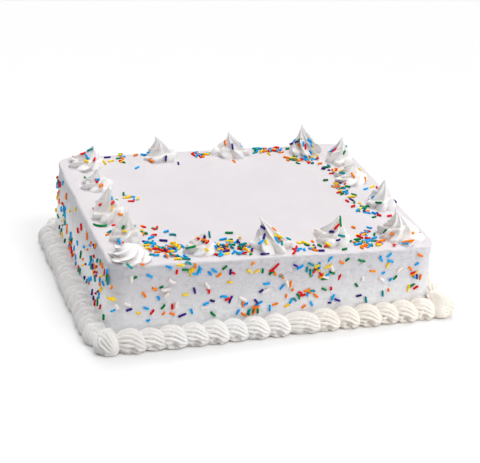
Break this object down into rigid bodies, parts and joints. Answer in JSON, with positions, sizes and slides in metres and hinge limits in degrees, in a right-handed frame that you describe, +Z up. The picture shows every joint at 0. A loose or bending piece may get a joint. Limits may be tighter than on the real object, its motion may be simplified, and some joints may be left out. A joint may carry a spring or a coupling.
{
  "type": "sheet cake",
  "caption": "Oblong sheet cake in white whipped icing with rod sprinkles, swirled dollops round the top and a piped shell border round the foot.",
  "frame": {"origin": "centre of the body's flat underside", "axes": "+X along the long front side to the right, +Y to the back, +Z up"},
  "size_m": [0.378, 0.2852, 0.1206],
  "materials": {
    "spread_icing": "smooth whipped icing spread with a palette knife",
    "piped_icing": "whipped icing piped from a star nozzle",
    "border_icing": "whipped icing piped in ridged shells",
    "sprinkle_red": "sugar rod sprinkle",
    "sprinkle_orange": "sugar rod sprinkle",
    "sprinkle_yellow": "sugar rod sprinkle",
    "sprinkle_green": "sugar rod sprinkle",
    "sprinkle_teal": "sugar rod sprinkle",
    "sprinkle_blue": "sugar rod sprinkle",
    "sprinkle_navy": "sugar rod sprinkle",
    "sprinkle_iced": "sugar rod sprinkle under a film of icing"
  },
  "bodies": {
    "root": {"cake": "spread_icing", "dollop_corner_front_left": "piped_icing", "dollop_front_1": "piped_icing", "dollop_front_2": "piped_icing", "dollop_front_3": "piped_icing", "dollop_corner_front_right": "piped_icing", "dollop_right_1": "piped_icing", "dollop_right_2": "piped_icing", "dollop_right_3": "piped_icing", "dollop_corner_back_right": "piped_icing", "dollop_back_2": "piped_icing", "dollop_back_1": "piped_icing", "dollop_corner_back_left": "piped_icing", "dollop_left_3": "piped_icing", "dollop_left_2": "piped_icing", "dollop_left_1": "piped_icing", "border_front": "border_icing", "border_right": "border_icing", "border_back": "border_icing", "border_left": "border_icing"}
  },
  "joints": []
}
